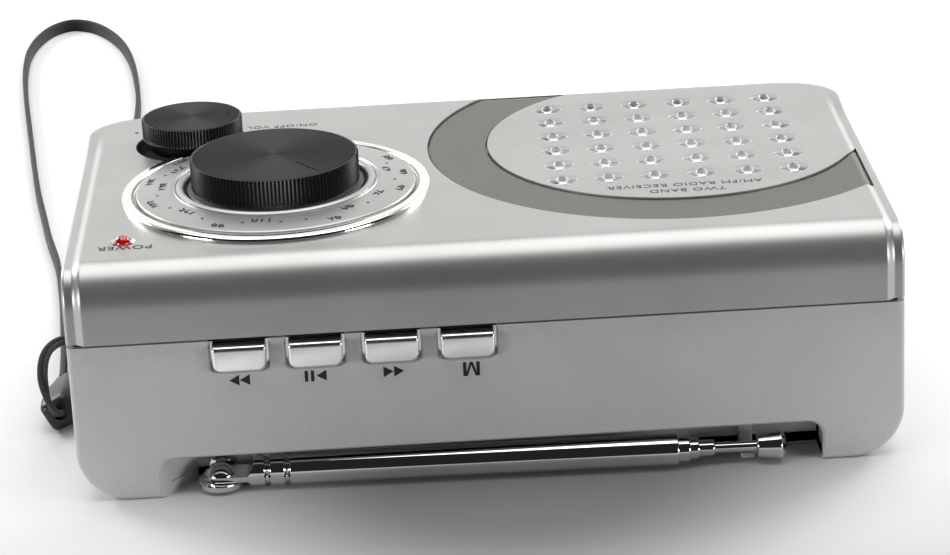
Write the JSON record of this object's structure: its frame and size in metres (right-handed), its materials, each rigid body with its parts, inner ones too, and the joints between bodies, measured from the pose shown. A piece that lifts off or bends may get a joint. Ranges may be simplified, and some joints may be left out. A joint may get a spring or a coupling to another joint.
{
  "type": "transistor pocket radio",
  "caption": "Flat silver pocket radio lying on its back, with a round tuning dial, volume knob, music keys, round speaker, telescopic aerial and wrist strap.",
  "frame": {"origin": "middle of the back face, on the surface that the radio lies on", "axes": "+X along the case towards the speaker, +Y from the key side to the foot side, +Z out of the front face"},
  "size_m": [0.1836, 0.3132, 0.0519],
  "materials": {
    "silver_shell": "satin silver paint on moulded plastic",
    "grey_shell": "fine-grained grey silver paint on moulded plastic",
    "dark_trim": "satin warm grey",
    "chrome_ring": "mirror",
    "chrome_key": "chrome-plated plastic",
    "aerial_chrome": "mirror",
    "black_knob": "satin black with a spun top",
    "black_plastic": "moulded",
    "cream_plastic": "moulded",
    "brown_laminate": "pressed laminate",
    "red_lamp": "clear tinted",
    "circuit_board": "solder-masked laminate",
    "blue_sleeve": "shrunk sleeve",
    "ferrite": "sintered",
    "copper_wire": "enamelled wire",
    "zinc_steel": "pressed",
    "paper_cone": "pressed paper",
    "cell_wrap": "printed sleeve",
    "steel": "nickel-plated",
    "black_cord": "braided nylon"
  },
  "bodies": {
    "case": {"front_cover": "silver_shell", "rear_cover": "grey_shell", "speaker_trim_ring": "dark_trim", "dial_ring": "chrome_ring", "dial_plate": "silver_shell", "tuning_capacitor": "cream_plastic", "volume_control": "brown_laminate", "power_lamp": "red_lamp", "button_switches": "black_plastic", "button_board": "circuit_board", "main_board": "circuit_board", "tuner_chip": "black_plastic", "amplifier_chip": "black_plastic", "smoothing_capacitors": "blue_sleeve", "ferrite_rod": "ferrite", "ferrite_coil": "copper_wire", "ferrite_holders": "cream_plastic", "speaker_frame": "zinc_steel", "speaker_cone": "paper_cone", "speaker_magnet": "ferrite", "battery_cells": "cell_wrap", "battery_springs": "steel", "battery_contacts": "steel", "case_screws": "steel", "board_screws": "steel", "earphone_socket": "black_plastic", "power_socket": "black_plastic", "jack_board": "circuit_board", "usb_shell": "steel", "usb_tongue": "cream_plastic", "card_socket": "steel", "socket_board": "circuit_board", "band_switch": "zinc_steel", "strap_bar": "steel", "strap_cord": "black_cord", "strap_keeper": "black_plastic", "strap_band": "black_cord"},
    "tuning": {"tuning_knob": "black_knob", "tuning_shaft": "steel"},
    "volume": {"volume_knob": "black_knob", "volume_shaft": "steel"},
    "rewind_key": {"rewind_button": "chrome_key"},
    "play_key": {"play_button": "chrome_key"},
    "forward_key": {"forward_button": "chrome_key"},
    "mode_key": {"mode_button": "chrome_key"},
    "battery_lid": {"battery_door": "grey_shell"},
    "band_key": {"band_slider": "black_plastic"},
    "swivel": {"aerial_swivel": "aerial_chrome", "aerial_rivet": "aerial_chrome"},
    "tube_1": {"aerial_tube_1": "aerial_chrome"},
    "tube_2": {"aerial_tube_2": "aerial_chrome"},
    "tube_3": {"aerial_tube_3": "aerial_chrome"},
    "tube_4": {"aerial_tube_4": "aerial_chrome"},
    "rod": {"aerial_rod": "aerial_chrome", "aerial_tip": "aerial_chrome"}
  },
  "joints": [
    {"name": "tuning_turn", "type": "hinge", "parent": "case", "child": "tuning", "pos_m": [-0.0371, -0.0078, 0.046], "axis": [0, 0, 1], "range_deg": [-171, 94]},
    {"name": "volume_turn", "type": "hinge", "parent": "case", "child": "volume", "pos_m": [-0.0537, 0.0232, 0.046], "axis": [0, 0, 1], "range_deg": [-300, 0]},
    {"name": "rewind_press", "type": "slide", "parent": "case", "child": "rewind_key", "axis": [0, 1, 0], "range_m": [0, 0.0008], "stiffness_N_per_m": 2000, "springref_m": -0.0002},
    {"name": "play_press", "type": "slide", "parent": "case", "child": "play_key", "axis": [0, 1, 0], "range_m": [0, 0.0008], "stiffness_N_per_m": 2000, "springref_m": -0.0002},
    {"name": "forward_press", "type": "slide", "parent": "case", "child": "forward_key", "axis": [0, 1, 0], "range_m": [0, 0.0008], "stiffness_N_per_m": 2000, "springref_m": -0.0002},
    {"name": "mode_press", "type": "slide", "parent": "case", "child": "mode_key", "axis": [0, 1, 0], "range_m": [0, 0.0008], "stiffness_N_per_m": 2000, "springref_m": -0.0002},
    {"name": "battery_lid_slide", "type": "slide", "parent": "case", "child": "battery_lid", "axis": [0, 1, 0], "range_m": [0, 0.036]},
    {"name": "band_slide", "type": "slide", "parent": "case", "child": "band_key", "axis": [0, 1, 0], "range_m": [0, 0.0036]},
    {"name": "aerial_swivel_turn", "type": "hinge", "parent": "case", "child": "swivel", "pos_m": [-0.0495, -0.038, 0.0024], "axis": [0, 1, 0], "range_deg": [0, 135]},
    {"name": "aerial_fold", "type": "hinge", "parent": "swivel", "child": "tube_1", "pos_m": [-0.0495, -0.0422, 0.00305], "axis": [0, 0, -1], "range_deg": [0, 90]},
    {"name": "tube_2_slide", "type": "slide", "parent": "tube_1", "child": "tube_2", "axis": [0.9997, -0.0244, 0], "range_m": [0, 0.0641]},
    {"name": "tube_3_slide", "type": "slide", "parent": "tube_2", "child": "tube_3", "axis": [0.9997, -0.0244, 0], "range_m": [0, 0.0641]},
    {"name": "tube_4_slide", "type": "slide", "parent": "tube_3", "child": "tube_4", "axis": [0.9997, -0.0244, 0], "range_m": [0, 0.0641]},
    {"name": "rod_slide", "type": "slide", "parent": "tube_4", "child": "rod", "axis": [0.9997, -0.0244, 0], "range_m": [0, 0.0641]}
  ],
  "couplings": [
    {"joint": "tube_2_slide", "follows": "aerial_fold", "m_per_rad": 0.040744},
    {"joint": "tube_3_slide", "follows": "aerial_fold", "m_per_rad": 0.040744},
    {"joint": "tube_4_slide", "follows": "aerial_fold", "m_per_rad": 0.040744},
    {"joint": "rod_slide", "follows": "aerial_fold", "m_per_rad": 0.040744}
  ]
}
